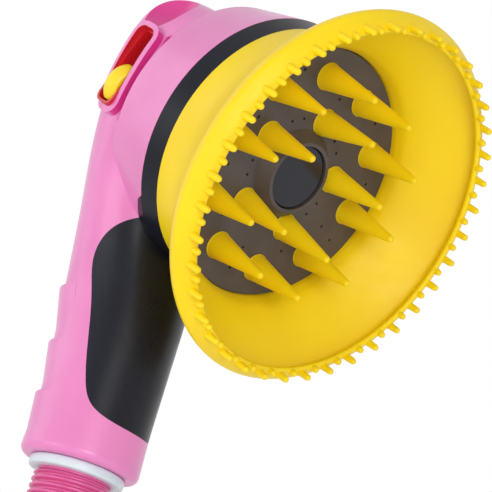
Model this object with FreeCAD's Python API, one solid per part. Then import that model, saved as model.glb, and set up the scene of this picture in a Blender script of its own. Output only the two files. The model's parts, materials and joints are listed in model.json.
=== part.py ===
import FreeCAD, Part
import math
import os

from FreeCAD import Matrix, Placement, Rotation, Vector

# Handheld bath sprayer: a handle with a hose thread at its foot, a drum-shaped head with a spray plate,
# rubber cones and a flared splash cup, and a thumb slider on the head's shoulders that works the valve.
# Millimetres. The origin is the centre of the hose thread's free end. +Z runs up the handle, the spray
# leaves towards -Y, and the head is the same on its -X and +X sides.

# Hose end
THREAD_R = 10.4775
THREAD_LENGTH = 12.0
NECK_R = 9.5
INLET_BORE_R = 6.5
HOSE_RING_R = 12.4
HOSE_RING_THICK = 2.6
HANDLE_FOOT_Z = THREAD_LENGTH + HOSE_RING_THICK
FOOT_WALL = 2.6

# Head: where the middle of the plate's face lies, and the angle between the spray and the handle
PLATE_Y = -38.4
PLATE_Z = HANDLE_FOOT_Z + 83.8
SPRAY_ANGLE = 64.5
PLATE_R = 34.3
PLATE_THICK = 2.2
HUB_BASE_R = 12.2
HUB_LIP_R = 9.7
HUB_HOLE_R = 8.75
HUB_HEIGHT = 3.2

# Drum of the head, measured back from the plate's face
DRUM_FRONT = 9.3
DRUM_FRONT_R = 35.5
DRUM_WIDEST = 14.8
DRUM_WIDEST_R = 36.5
DRUM_BACK = 33.4
DRUM_BACK_R = 33.2
DRUM_EDGE_ROUND = 1.6
PARTING_BACK = DRUM_BACK + 0.8
BLACK_RING_END = 14.6

# How far cutting blocks run past what they cut
OVERCUT = 1.0
FAR = 80.0

# Walls and skins
WALL = 2.2
SKIN = 1.3
FRONT_BORE_R = 32.2
LEDGE_R = 29.0
LEDGE_THICK = 2.0
RUN_GAP = 0.3

# Nubs on the cup's rim: radius, count in a row, and each row's radius, foot, length and outward lean
NUB_R = 0.85
NUBS_PER_ROW = 38
NUB_ROWS = ((48.1, 19.8, 4.2, 12.0), (46.9, 20.6, 3.9, 0.0))
SEAM_TURN = 2.4

# Massage cones and spray holes: radius, count, first angle and outward lean of each ring of cones
CONE_BASE_R = 3.6
CONE_TIP_R = 0.95
CONE_LENGTH = 18.2
CONE_TURN = 5.0
CONE_RINGS = ((15.4, 5, 0.0, 4.0), (26.6, 10, 18.0, 1.0))
SLIP_PLAY = 0.02
MAT_HOLE_R = 1.1
MAT_PLAY = 0.1
SPRAY_HOLE_R = 0.4
PAIR_RING_R = 15.0
PAIR_HALF_ANGLE = 7.5
HOLE_RINGS = (22.5, 28.6)
CHAMBER_R = 29.6
MANIFOLD_R = 32.0
MANIFOLD_BACK = 13.0
MAT_FRONT = 2.3
MAT_BACK = 4.3

# Thumb slider: the slot lies on the flank, its face turned back by FLANK_TURN from straight sideways
SLOT_X = 29.6
SLOT_BACK = 40.2
SLOT_MID = -2.6
SLOT_LENGTH = 22.6
SLOT_WIDTH = 7.4
SLOT_CORNER = 2.4
BEZEL_WALL = 1.5
BEZEL_PROUD = 2.0
FLANK_TURN = 8.0
LINER_SUNK = 2.0
LINER_WALL = 0.7
LINER_LIP = 1.0
KNOB_LENGTH = 10.6
KNOB_WIDTH = 5.2
KNOB_PROUD = 3.4
KNOB_REST = -7.2
TRAVEL = 9.5

LINER_FLOOR = 1.4
LINER_PLAY = 0.1
BEZEL_DEEP = 7.0
SLOT_REACH = 12.0
DOME_DROP = 1.4
DOME_SPREAD = 1.2

# Valve and flow tube
VALVE_BACK = 26.0
VALVE_LOW = -26.0
VALVE_HIGH = 0.0
VALVE_R = 7.5
VALVE_BORE_R = 5.0
OUTLET_UP = -8.0
OUTLET_R = 5.0
TUBE_R = 5.5
TUBE_BORE_R = 4.2
TUBE_FOOT = HANDLE_FOOT_Z + 8.0
BEND_R = 14.0

# Grip steps on the back of the handle: height of each ledge above the handle's foot
GRIP_STEPS = (44.3, 29.4, 15.5)
STEP_FALL = 13.5
STEP_PROUD = 1.6
STEP_DIVE = 0.35
STEP_ROOT = 0.4

# Cup wall with its lip curled inward, outside and inside: radius and height forward of the plate's face
CUP_OUTSIDE = (
    (35.5, -9.2), (36.4, -4.8), (38.2, 1.2), (41.2, 6.2), (45.2, 11.0),
    (48.6, 14.4), (49.9, 17.4), (49.1, 20.2), (47.7, 21.7), (46.3, 22.0),
)
CUP_INSIDE = (
    (34.6, 1.2), (35.9, 4.2), (39.2, 8.3), (43.2, 12.6),
    (46.4, 15.9), (47.3, 17.7), (47.0, 19.3), (46.0, 20.3),
)
FLANGE_THICK = 2.0
CLAMP_R = 34.4

# Fastening of the plate
HUB_POST_R = 6.0
CAP_SEAT = 1.0
SCREW_HEAD_R = 3.6
SCREW_SEAT = -0.8
SCREW_R = 1.9
SCREW_END = 12.0
SCREW_HEAD_TALL = 1.5
DRIVE_R = 1.2
DRIVE_DEEP = 0.9
CAP_TALL = 1.6
CAP_ROUND = 0.5
PRESS_PLAY = 0.05
SCREW_PLAY = 0.2
HEAD_PLAY = 0.3
GASKET_R = 30.75
GASKET_CORD = 0.6
GASKET_GROOVE = 0.65
GASKET_DEEP = 1.4
BOSS_R = 5.6
MANIFOLD_WALL = 2.2
OUTLET_WALL = 1.4
OUTLET_SOCKET_WALL = 2.6
PORT_STEP = 0.2
PORT_END = 5.0
SOCKET_END = 18.2
NOTCHES = 6
NOTCH_WIDE = 4.0
NOTCH_DEEP = 1.6

# Spool, carrier and detent
SPOOL_R = 4.94
SPOOL_LOW = -22.0
SPOOL_HIGH = -13.2
LAND = 3.2
WAIST_CUT = 1.6
RING_CORD = 0.5
RING_SUNK = 0.95
RING_GROOVE = 0.7
STEM_R = 2.0
STEM_TOP = 8.4
STEM_PLAY = 0.08
CAP_THICK = 2.5
CAP_INSIDE = 3.0
ARM_WIDE = 8.0
ARM_PAST_STEM = 4.5
ARM_TOP = 8.4
ARM_TALL = 3.6
BAR_HALF = 22.0
BAR_TALL = 8.0
BAR_THICK = 4.0
NECK_TALL = 6.0
NECK_WIDE = 3.0
NECK_ROUND = 1.4
NECK_DEEP = 9.0
NECK_HOLD = 0.9
SOCKET_DEEP = 5.6
SEAL_IN = 3.4
SEAL_CORD = 0.9
SEAL_GROOVE = 1.0
SEAL_GROOVE_DEEP = 1.9
TUBE_SOCKET_WALL = 2.9
TUBE_STOP = 1.5
TUBE_PLAY = 0.2
OUTLET_SEAL_AT = 15.5
OUTLET_GROOVE = 0.6
OUTLET_GROOVE_DEEP = 0.98
EAR_UP = -16.0
EAR_SCREW_R = 1.4
EAR_SCREW_X = 11.0
EAR_IN = 2.0
EAR_OUT = 13.0
EAR_TALL = 8.0
EAR_THICK = 3.0
POST_R = 3.0
BRIDGE_TALL = 26.0
BRIDGE_DEEP = 3.5
BRIDGE_LOW = 17.0
BRIDGE_THICK = 3.0
SCREW_BITE = 7.0
EAR_HEAD_R = 2.6
EAR_HEAD_TALL = 1.8
FILTER_SEAT = 2.0
FILTER_THICK = 1.0
FILTER_RIM = 1.0
FILTER_NET = 0.4
FILTER_HOLE_R = 0.6
FILTER_RINGS = ((1.9, 6), (3.7, 12))
NIPPLE_FLANGE_R = 12.0
NIPPLE_FLANGE_THICK = 2.5

# Detent leaf: its side, thickness, span up the head, and how far it stands from the wall
LEAF_X = 6.2
LEAF_THICK = 0.6
LEAF_LOW = -12.0
LEAF_LONG = 22.0
LEAF_REACH = 18.0
LEAF_TIP = 3.0
LEAF_CLICK = 6.0
LEAF_BUMP = 1.0

# Groove in front of the bezel, on a circle about the spray axis: its circle, round, place and two ends
GROOVE_R = 32.4
GROOVE_ROUND = 1.7
GROOVE_BACK = 33.0
GROOVE_FROM = 164.0
GROOVE_TO = 207.0

# Scoop above the slot, and the round at the handle's foot
SCOOP_X = 35.5
SCOOP_UP = 21.0
SCOOP_BACK = 45.0
SCOOP_RADII = (14.0, 13.0, 9.6)
FOOT_ROUND = 1.8

ANGLE = math.radians(SPRAY_ANGLE)
SPRAY = Vector(0, -math.sin(ANGLE), -math.cos(ANGLE))
BACK = SPRAY * -1
UP = Vector(0, -math.cos(ANGLE), math.sin(ANGLE))
PLATE = Vector(0, PLATE_Y, PLATE_Z)
HEAD = Placement(PLATE, Rotation(Vector(1, 0, 0), 180.0 - SPRAY_ANGLE))
ACROSS = Vector(1, 0, 0)
UPRIGHT = Vector(0, 0, 1)
ORIGIN = Vector(0, 0, 0)


def head_point(x, up, back):
    """A point of the head: sideways, up the head and back from the middle of the plate's face."""
    return PLATE + ACROSS * x + UP * up + BACK * back


def placed(shape, placement):
    moved = shape.copy()
    moved.transformShape(placement.toMatrix(), True)
    return moved


def on_head(shape):
    """Moves a shape made with +Z forward and +Y up the head to its place."""
    return placed(shape, HEAD)


def ring(outer, inner, low, high):
    body = disc(outer, low, high)
    return body.cut(disc(inner, low - OVERCUT, high + OVERCUT))


def disc(radius, low, high, x=0.0, y=0.0):
    return Part.makeCylinder(radius, high - low, Vector(x, y, low))


def both_sides(shape):
    return [shape, shape.mirror(ORIGIN, ACROSS)]


def oval(half_width, half_depth, squareness, count=16):
    """Points of a closed oval: a power ellipse, round at 2 and squarer above it."""
    power = 2.0 / squareness
    points = []
    for step in range(count):
        turn = 2 * math.pi * step / count
        cos, sin = math.cos(turn), math.sin(turn)
        across = math.copysign(abs(cos) ** power, cos) * half_width
        deep = math.copysign(abs(sin) ** power, sin) * half_depth
        points.append((across, deep))
    return points


def section(middle, tilt, half_width, half_depth, squareness):
    """One closed cross-section of the body, level at tilt 0 and leaning back by tilt degrees."""
    lean = math.radians(tilt)
    deep_way = Vector(0, math.cos(lean), math.sin(lean))
    points = [middle + ACROSS * x + deep_way * d for x, d in oval(half_width, half_depth, squareness)]
    curve = Part.BSplineCurve()
    curve.interpolate(points, PeriodicFlag=True)
    return Part.Wire([curve.toShape()])


def handle_stations():
    """Cross-sections from the foot to the top: middle, lean, half width, half depth, squareness."""
    lean = 90.0 - SPRAY_ANGLE

    def at(y, z):
        return Vector(0, y, HANDLE_FOOT_Z + z)

    return [
        (at(0.0, 0.0), 0.0, 15.5, 15.5, 2.0),
        (at(0.0, 9.0), 0.0, 15.2, 15.2, 2.0),
        (at(0.1, 18.0), 0.0, 15.1, 15.2, 2.0),
        (at(0.5, 27.0), 1.0, 15.2, 15.7, 2.0),
        (at(1.1, 36.0), 3.0, 15.4, 16.4, 2.0),
        (at(1.8, 45.0), 6.0, 16.0, 17.0, 2.0),
        (at(2.6, 54.0), 10.5, 17.3, 17.2, 2.0),
        (at(3.1, 63.0), 15.0, 19.5, 17.2, 2.0),
        (at(2.4, 73.5), 20.0, 23.2, 18.0, 2.05),
        (head_point(0, -12.0, 32.8), lean, 28.4, 22.4, 2.5),
        (head_point(0, 1.0, 31.8), lean, 30.4, 26.0, 3.0),
        (head_point(0, 12.0, 31.8), lean, 30.2, 27.0, 3.2),
        (head_point(0, 19.0, 32.8), lean, 27.5, 24.0, 3.0),
        (head_point(0, 23.0, 34.8), lean, 20.0, 16.0, 2.6),
    ]


def body_loft(inset):
    """The handle and the back of the head as one swept form, drawn in by inset."""
    wires = []
    stations = handle_stations()
    for number, (middle, tilt, width, depth, square) in enumerate(stations):
        if number == 0:
            middle = middle + UPRIGHT * max(inset, 0.0) * FOOT_WALL / WALL
        if number == len(stations) - 1:
            middle = middle - UP * inset
        wires.append(section(middle, tilt, width - inset, depth - inset, square))
    return Part.makeLoft(wires, True, False)


def drum(inset):
    """The drum of the head, a turned form about the spray axis."""
    points = [
        Vector(0, 0, -DRUM_FRONT),
        Vector(DRUM_FRONT_R - inset, 0, -DRUM_FRONT),
        Vector(DRUM_WIDEST_R - inset, 0, -DRUM_WIDEST),
        Vector(DRUM_BACK_R - inset, 0, -DRUM_BACK + inset),
        Vector(0, 0, -DRUM_BACK + inset),
    ]
    face = Part.Face(Part.makePolygon(points + [points[0]]))
    body = face.revolve(ORIGIN, UPRIGHT, 360)
    if inset == 0:
        edges = [e for e in body.Edges if e.Closed and abs(e.BoundBox.ZMax + DRUM_BACK) < 0.01]
        body = body.makeFillet(DRUM_EDGE_ROUND, edges)
    return on_head(body)


def cup_clearance():
    """The round space in front of the drum where the cup stands."""
    return on_head(disc(DRUM_WIDEST_R + OVERCUT, -DRUM_FRONT, FAR))


def body_form(inset):
    return body_loft(inset).fuse(drum(inset))


def side_prism(outline):
    """A closed outline in the Y-Z plane, carried across the whole width."""
    face = Part.Face(outline)
    face.translate(ACROSS * -FAR)
    return face.extrude(ACROSS * (2 * FAR))


def parting_prism():
    """Everything in front of the parting line, which follows the drum's back edge over the head."""
    foot = HANDLE_FOOT_Z
    line = [
        Vector(0, 1.0, foot - 6.0),
        Vector(0, 1.0, foot + 16.0),
        Vector(0, 3.0, foot + 29.0),
        Vector(0, 6.0, foot + 43.0),
        Vector(0, 7.5, foot + 55.0),
        Vector(0, 6.4, foot + 68.0),
        head_point(0, -17.0, PARTING_BACK),
    ]
    curve = Part.BSplineCurve()
    curve.interpolate(line)
    top = head_point(0, FAR, PARTING_BACK)
    front = top.y - FAR
    corners = [line[-1], top, Vector(0, front, top.z), Vector(0, front, line[0].z), line[0]]
    edges = [curve.toShape()]
    for first, second in zip(corners, corners[1:]):
        edges.append(Part.makeLine(first, second))
    return side_prism(Part.Wire(edges))


def pad_prism():
    """Everything in front of the rear edge of the soft pad on the handle."""
    foot = HANDLE_FOOT_Z
    line = [
        Vector(0, -18.0, foot + 10.2),
        Vector(0, -13.0, foot + 10.8),
        Vector(0, -8.6, foot + 13.4),
        Vector(0, -5.6, foot + 19.4),
        Vector(0, -2.6, foot + 31.5),
        Vector(0, 0.4, foot + 43.0),
        Vector(0, 2.0, foot + 52.0),
        Vector(0, -0.4, foot + 57.2),
        Vector(0, -5.2, foot + 61.4),
        Vector(0, -11.0, foot + 65.2),
    ]
    curve = Part.BSplineCurve()
    curve.interpolate(line)
    front = -FAR
    edges = [
        curve.toShape(),
        Part.makeLine(line[-1], Vector(0, front, line[-1].z)),
        Part.makeLine(Vector(0, front, line[-1].z), Vector(0, front, line[0].z)),
        Part.makeLine(Vector(0, front, line[0].z), line[0]),
    ]
    return side_prism(Part.Wire(edges))


def flank_placement():
    """The slot's own frame on the -X side: +Z out of the slot, +Y up the head."""
    turn = math.radians(FLANK_TURN)
    out = ACROSS * -math.cos(turn) + BACK * math.sin(turn)
    sideways = UP.cross(out)
    middle = head_point(-SLOT_X, 0, SLOT_BACK)
    matrix = Matrix(
        sideways.x, UP.x, out.x, middle.x,
        sideways.y, UP.y, out.y, middle.y,
        sideways.z, UP.z, out.z, middle.z,
        0, 0, 0, 1,
    )
    return Placement(matrix)


def rounded_block(length, width, corner, low, high, middle):
    """A block with rounded corners in the slot's own frame, long way up the head."""
    block = Part.makeBox(width, length, high - low, Vector(-width / 2, middle - length / 2, low))
    upright = [e for e in block.Edges if e.BoundBox.ZLength > high - low - 0.01]
    return block.makeFillet(corner, upright)


def on_flank(shape):
    return placed(shape, flank_placement())


def scoop(grown=0.0):
    """The dished hollow above the slot, between the drum's back edge and the rear rim."""
    ball = Part.makeSphere(1.0)
    matrix = Matrix()
    matrix.scale(Vector(SCOOP_RADII[0] + grown, SCOOP_RADII[1] + grown, SCOOP_RADII[2] + grown))
    hollow = ball.transformGeometry(matrix)
    hollow.translate(Vector(-SCOOP_X, SCOOP_UP, -SCOOP_BACK))
    return on_head(hollow)


def groove(grown=0.0):
    """The round-bottomed groove between the drum and the bezel, with round ends."""
    radius = GROOVE_ROUND + grown
    middle = Vector(GROOVE_R, 0, -GROOVE_BACK)
    circle = Part.Wire([Part.Circle(middle, Vector(0, 1, 0), radius).toShape()])
    channel = Part.Face(circle).revolve(ORIGIN, UPRIGHT, GROOVE_TO - GROOVE_FROM)
    channel.rotate(ORIGIN, UPRIGHT, GROOVE_FROM)
    for turn in (GROOVE_FROM, GROOVE_TO):
        end = Part.makeSphere(radius, middle)
        end.rotate(ORIGIN, UPRIGHT, turn)
        channel = channel.fuse(end)
    return on_head(channel)


def rounded_foot(form):
    edges = [e for e in form.Edges if e.BoundBox.ZMax < HANDLE_FOOT_Z + 0.01]
    return form.makeFillet(FOOT_ROUND, edges)


def foot_hole():
    """The hole in the handle's foot that the inlet's neck stands in."""
    return disc(NECK_R, HANDLE_FOOT_Z - OVERCUT, HANDLE_FOOT_Z + FOOT_WALL + OVERCUT)


def handle_section_at(height):
    """Middle, half width and half depth of the handle at a height above its foot."""
    stations = handle_stations()
    for (low, _, width, depth, _), (high, _, width_up, depth_up, _) in zip(stations, stations[1:]):
        share = (HANDLE_FOOT_Z + height - low.z) / (high.z - low.z)
        if 0 <= share <= 1:
            middle = low + (high - low) * share
            return middle, width + (width_up - width) * share, depth + (depth_up - depth) * share


def grip_steps():
    """Ledges down the back of the handle, each a wedge that sinks back into it below."""
    steps = []
    for height in GRIP_STEPS:
        high, width, depth = handle_section_at(height)
        low, width_low, depth_low = handle_section_at(height - STEP_FALL)
        high = high + Vector(0, STEP_PROUD, 0)
        wires = [
            section(low, 0.0, width_low - STEP_DIVE, depth_low - STEP_ROOT, 2.0),
            section(high, 0.0, width - STEP_DIVE, depth, 2.0),
        ]
        steps.append(Part.makeLoft(wires, True, False))
    return steps


def bezel():
    """The raised wall round the slot, its face following the flank."""
    length, width = SLOT_LENGTH + 2 * BEZEL_WALL, SLOT_WIDTH + 2 * BEZEL_WALL
    block = rounded_block(length, width, SLOT_CORNER + BEZEL_WALL, -BEZEL_DEEP, SLOT_REACH, SLOT_MID)
    return body_loft(-BEZEL_PROUD).common(on_flank(block))


def outside():
    """The outside of the body without its grip steps and bezels."""
    form = rounded_foot(body_loft(0.0)).fuse(drum(0.0))
    for hollow in both_sides(scoop()) + both_sides(groove()):
        form = form.cut(hollow)
    return form.cut(cup_clearance())


def inside():
    """The hollow of the body."""
    form = body_form(WALL)
    for wall in both_sides(scoop(WALL)) + both_sides(groove(WALL)):
        form = form.cut(wall)
    return form


def soft_zone():
    """Where the black skin covers the body: the ring round the head and the pad on the handle."""
    band = on_head(ring(DRUM_WIDEST_R + OVERCUT, FRONT_BORE_R - OVERCUT, -BLACK_RING_END, -DRUM_FRONT))
    return band.fuse(pad_prism())


def soft_grip():
    base = body_form(0.0).cut(cup_clearance())
    return base.cut(body_form(SKIN)).common(soft_zone())


def shells(grip, hollow):
    """The front and rear shells, parted along the handle's sides and the drum's back edge."""
    body = outside().cut(hollow)
    front_half = parting_prism()
    return front_shell(body.common(front_half), grip), rear_shell(body.cut(front_half), hollow, front_half)


def front_shell(front, grip):
    """The drum and the front of the handle, with the flange lip, the manifold's ledge and the valve's posts."""
    lip = ring(DRUM_WIDEST_R - SKIN, FRONT_BORE_R, -MANIFOLD_BACK, -DRUM_FRONT)
    ledge = ring(DRUM_WIDEST_R - SKIN, LEDGE_R, -MANIFOLD_BACK - LEDGE_THICK, -MANIFOLD_BACK)
    front = front.fuse(on_head(lip)).fuse(on_head(ledge))
    front = front.cut(on_head(disc(FRONT_BORE_R, -MANIFOLD_BACK, 0)))
    front = front.cut(on_head(disc(LEDGE_R, -MANIFOLD_BACK - LEDGE_THICK - OVERCUT, 0)))
    front = front.cut(foot_hole())
    front = front.cut(grip)
    for post in valve_posts():
        front = front.fuse(post)
    for side in (-1, 1):
        pilot = disc(EAR_SCREW_R, -VALVE_BACK, SCREW_BITE - VALVE_BACK, side * EAR_SCREW_X, EAR_UP)
        front = front.cut(on_head(pilot))
    return front


def rear_shell(rear, hollow, front_half):
    """The back of the handle and head, with the grip steps and the bezels round the slots."""
    for step in grip_steps():
        rear = rear.fuse(step.cut(hollow).cut(front_half))
    slot = on_flank(rounded_block(SLOT_LENGTH, SLOT_WIDTH, SLOT_CORNER, -SLOT_REACH, SLOT_REACH, SLOT_MID))
    walls = bezel().cut(hollow).cut(front_half).cut(groove())
    for side in both_sides(walls):
        rear = rear.fuse(side)
    for side in both_sides(slot):
        rear = rear.cut(side)
    return rear.cut(foot_hole())


def splash_cup():
    """The flared rubber cup: an inner flange, a bell-shaped wall, a rolled lip and two rows of nubs."""
    outer = Part.BSplineCurve()
    outer.interpolate([Vector(x, 0, z) for x, z in CUP_OUTSIDE])
    inner = Part.BSplineCurve()
    inner.interpolate([Vector(x, 0, z) for x, z in CUP_INSIDE])
    foot_out, rim_out = Vector(*spread(CUP_OUTSIDE[0])), Vector(*spread(CUP_OUTSIDE[-1]))
    foot_in, rim_in = Vector(*spread(CUP_INSIDE[0])), Vector(*spread(CUP_INSIDE[-1]))
    flange_z = -DRUM_FRONT + 0.1 + FLANGE_THICK
    corners = [
        foot_in,
        Vector(foot_in.x, 0, flange_z),
        Vector(MANIFOLD_R + 0.1, 0, flange_z),
        Vector(MANIFOLD_R + 0.1, 0, foot_out.z),
        foot_out,
    ]
    edges = [outer.toShape(), Part.makeLine(rim_out, rim_in), inner.toShape()]
    for first, second in zip(corners, corners[1:]):
        edges.append(Part.makeLine(first, second))
    face = Part.Face(Part.Wire(Part.__sortEdges__(edges)))
    wall = face.revolve(ORIGIN, UPRIGHT, 360)
    wall.rotate(ORIGIN, UPRIGHT, SEAM_TURN)
    nubs = []
    for row, (radius, foot, length, lean) in enumerate(NUB_ROWS):
        slant = math.radians(lean)
        way = Vector(math.sin(slant), 0, math.cos(slant))
        nub = Part.makeCylinder(NUB_R, length, Vector(radius, 0, foot), way)
        for number in range(NUBS_PER_ROW):
            turn = 360.0 * (number + 0.5 * row) / NUBS_PER_ROW
            nubs.append(placed(nub, Placement(ORIGIN, Rotation(UPRIGHT, turn))))
    return on_head(wall.multiFuse(nubs))


def spread(point):
    """A turned profile's radius and height as a point of the X-Z plane."""
    return point[0], 0, point[1]


def ring_place(radius, angle):
    """A place on the plate at an angle from the top of the cones' pattern."""
    turn = math.radians(90.0 + CONE_TURN + angle)
    return radius * math.cos(turn), radius * math.sin(turn)


def cone_places():
    """Where each cone stands on the plate, and where its tip lies beyond it."""
    places = []
    for radius, count, first, lean in CONE_RINGS:
        tip_radius = radius + (CONE_LENGTH - CONE_TIP_R) * math.tan(math.radians(lean))
        for number in range(count):
            angle = first + 360.0 * number / count
            places.append((ring_place(radius, angle), ring_place(tip_radius, angle)))
    return places


def spray_hole_places():
    """Pairs on the inner ring between the cones, and two outer rings."""
    places = []
    for number in range(5):
        for offset in (-PAIR_HALF_ANGLE, PAIR_HALF_ANGLE):
            places.append(ring_place(PAIR_RING_R, 36.0 + 72.0 * number + offset))
    for radius in HOLE_RINGS:
        for number in range(10):
            places.append(ring_place(radius, 36.0 * number))
    return places


def cone_mat():
    """The rubber mat behind the plate that carries the cones, drilled for the water."""
    mat = disc(CHAMBER_R - MAT_PLAY, -MAT_BACK, -MAT_FRONT)
    mat = mat.cut(disc(HUB_POST_R + MAT_PLAY, -MAT_BACK - OVERCUT, 0))
    for x, y in spray_hole_places():
        mat = mat.cut(disc(MAT_HOLE_R, -MAT_BACK - OVERCUT, 0, x, y))
    return on_head(mat)


def massage_spikes():
    """Fifteen rubber cones that are bonded to the mat and stand through the plate's holes."""
    cones = []
    for (x, y), (tip_x, tip_y) in cone_places():
        tip = Vector(tip_x, tip_y, CONE_LENGTH - CONE_TIP_R)
        rims = []
        for centre, radius in ((Vector(x, y, 0), CONE_BASE_R), (tip, CONE_TIP_R)):
            rims.append(Part.Wire([Part.Circle(centre, UPRIGHT, radius).toShape()]))
        foot = disc(CONE_BASE_R, -MAT_FRONT, 0, x, y)
        cone = foot.fuse(Part.makeLoft(rims, True, True)).fuse(Part.makeSphere(CONE_TIP_R, tip))
        cones.append(on_head(cone))
    return Part.makeCompound(cones)


def spray_plate():
    """The drilled plate with its raised hub in front and the post behind it."""
    body = disc(PLATE_R, -PLATE_THICK, 0)
    hub = Part.makeCone(HUB_BASE_R, HUB_LIP_R, HUB_HEIGHT)
    post = disc(HUB_POST_R, -MAT_BACK, -PLATE_THICK)
    body = body.fuse(hub).fuse(post)
    body = body.cut(disc(HUB_HOLE_R, CAP_SEAT, HUB_HEIGHT + OVERCUT))
    body = body.cut(disc(SCREW_HEAD_R + HEAD_PLAY, SCREW_SEAT, HUB_HEIGHT + OVERCUT))
    body = body.cut(disc(SCREW_R + SCREW_PLAY, -SCREW_END, OVERCUT))
    behind = -MAT_FRONT - OVERCUT
    holes = [disc(SPRAY_HOLE_R, behind, OVERCUT, x, y) for x, y in spray_hole_places()]
    holes += [disc(CONE_BASE_R + SLIP_PLAY, behind, OVERCUT, x, y) for (x, y), _ in cone_places()]
    for hole in holes:
        body = body.cut(hole)
    return on_head(body)


def hub_cap():
    """The press-in plug that hides the screw, with a rounded rim."""
    plug = disc(HUB_HOLE_R - PRESS_PLAY, CAP_SEAT, CAP_SEAT + CAP_TALL)
    edge = [e for e in plug.Edges if e.Closed and e.BoundBox.ZMin > CAP_SEAT + CAP_TALL / 2]
    return on_head(plug.makeFillet(CAP_ROUND, edge))


def hub_screw():
    top = SCREW_SEAT + SCREW_HEAD_TALL
    head = disc(SCREW_HEAD_R, SCREW_SEAT, top)
    head = head.cut(disc(DRIVE_R, top - DRIVE_DEEP, top + OVERCUT))
    shank = disc(SCREW_R, -SCREW_END, SCREW_SEAT)
    return on_head(head.fuse(shank))


def plate_gasket():
    middle = Vector(0, 0, -PLATE_THICK - PRESS_PLAY - GASKET_CORD)
    return on_head(Part.makeTorus(GASKET_R, GASKET_CORD, middle))


def head_manifold():
    """The water chamber behind the plate: a dish with a screw boss and the valve's socket."""
    body = disc(MANIFOLD_R, -MANIFOLD_BACK, -MAT_FRONT)
    body = body.cut(disc(CHAMBER_R, -MANIFOLD_BACK + MANIFOLD_WALL, 0))
    boss = disc(BOSS_R, -MANIFOLD_BACK, -MAT_BACK)
    socket = disc(OUTLET_R + OUTLET_SOCKET_WALL, -SOCKET_END, -MANIFOLD_BACK, 0, OUTLET_UP)
    body = body.fuse(boss).fuse(socket)
    groove = ring(GASKET_R + GASKET_GROOVE, GASKET_R - GASKET_GROOVE, -PLATE_THICK - GASKET_DEEP, 0)
    body = body.cut(groove)
    body = body.cut(disc(SCREW_R, -SCREW_END, 0))
    seat = -MANIFOLD_BACK - PORT_STEP
    body = body.cut(disc(OUTLET_R + PRESS_PLAY, -SOCKET_END - OVERCUT, seat, 0, OUTLET_UP))
    body = body.cut(disc(OUTLET_R - OUTLET_WALL, seat - OVERCUT, -PORT_END, 0, OUTLET_UP))
    return on_head(body)


def cup_clamp():
    """The ring that the plate presses on the cup's flange, notched for a spanner."""
    low = -DRUM_FRONT + 0.1 + FLANGE_THICK
    body = ring(CLAMP_R, MANIFOLD_R + PRESS_PLAY, low, -PLATE_THICK)
    corner = Vector(-NOTCH_WIDE / 2, MANIFOLD_R, -PLATE_THICK - NOTCH_DEEP)
    for number in range(NOTCHES):
        turn = Rotation(UPRIGHT, 360.0 * number / NOTCHES)
        notch = Part.makeBox(NOTCH_WIDE, NOTCH_WIDE, NOTCH_DEEP, corner)
        body = body.cut(placed(notch, Placement(ORIGIN, turn)))
    return on_head(body)


def valve_axis(low, high, radius):
    """A cylinder on the valve's axis, which runs up the head."""
    return Part.makeCylinder(radius, high - low, head_point(0, low, VALVE_BACK), UP)


def outlet_tube(radius, near, far):
    """A cylinder on the outlet's axis, from near to far behind the plate's face."""
    return Part.makeCylinder(radius, far - near, head_point(0, OUTLET_UP, near), BACK)


def valve_housing():
    """The barrel with its outlet port towards the manifold, a socket for the tube and two fixing ears."""
    body = valve_axis(VALVE_LOW, VALVE_HIGH, VALVE_R)
    body = body.fuse(valve_axis(VALVE_LOW - SOCKET_DEEP, VALVE_LOW, TUBE_R + TUBE_SOCKET_WALL))
    body = body.fuse(outlet_tube(OUTLET_R, MANIFOLD_BACK + HEAD_PLAY, VALVE_BACK))
    low = Vector(EAR_IN, EAR_UP - EAR_TALL / 2, -VALVE_BACK - EAR_THICK / 2)
    ear = on_head(Part.makeBox(EAR_OUT - EAR_IN, EAR_TALL, EAR_THICK, low))
    hole = on_head(disc(EAR_SCREW_R, low.z - OVERCUT, low.z + EAR_THICK + OVERCUT, EAR_SCREW_X, EAR_UP))
    for side in both_sides(ear.cut(hole)):
        body = body.fuse(side)
    body = body.cut(valve_axis(VALVE_LOW, VALVE_HIGH + OVERCUT, VALVE_BORE_R))
    stop = VALVE_LOW - TUBE_STOP
    body = body.cut(valve_axis(VALVE_LOW - SOCKET_DEEP - OVERCUT, stop, TUBE_R + PRESS_PLAY))
    body = body.cut(valve_axis(stop - OVERCUT, VALVE_LOW + OVERCUT, TUBE_BORE_R))
    body = body.cut(outlet_tube(OUTLET_R - OUTLET_WALL, MANIFOLD_BACK, VALVE_BACK))
    low, high = OUTLET_SEAL_AT - OUTLET_GROOVE, OUTLET_SEAL_AT + OUTLET_GROOVE
    groove = outlet_tube(OUTLET_R + OVERCUT, low, high)
    groove = groove.cut(outlet_tube(OUTLET_R - OUTLET_GROOVE_DEEP, low, high))
    body = body.cut(groove)
    seal = VALVE_LOW - SEAL_IN
    return body.cut(valve_axis(seal - SEAL_GROOVE, seal + SEAL_GROOVE, TUBE_R + SEAL_GROOVE_DEEP))


def valve_posts():
    """The posts in the front shell that the valve's ears are screwed to."""
    posts = []
    for side in (-1, 1):
        x = side * EAR_SCREW_X
        post = disc(POST_R, EAR_THICK / 2 - VALVE_BACK, -MANIFOLD_BACK, x, EAR_UP)
        corner = Vector(x - POST_R / 2, EAR_UP - BRIDGE_LOW, -MANIFOLD_BACK - BRIDGE_DEEP)
        bridge = Part.makeBox(POST_R, BRIDGE_TALL, BRIDGE_THICK, corner)
        posts.append(on_head(post.fuse(bridge)))
    return posts


def outlet_seal():
    middle = head_point(0, OUTLET_UP, OUTLET_SEAL_AT)
    return Part.makeTorus(OUTLET_R - OUTLET_GROOVE_DEEP + RING_CORD, RING_CORD, middle, BACK)


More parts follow.
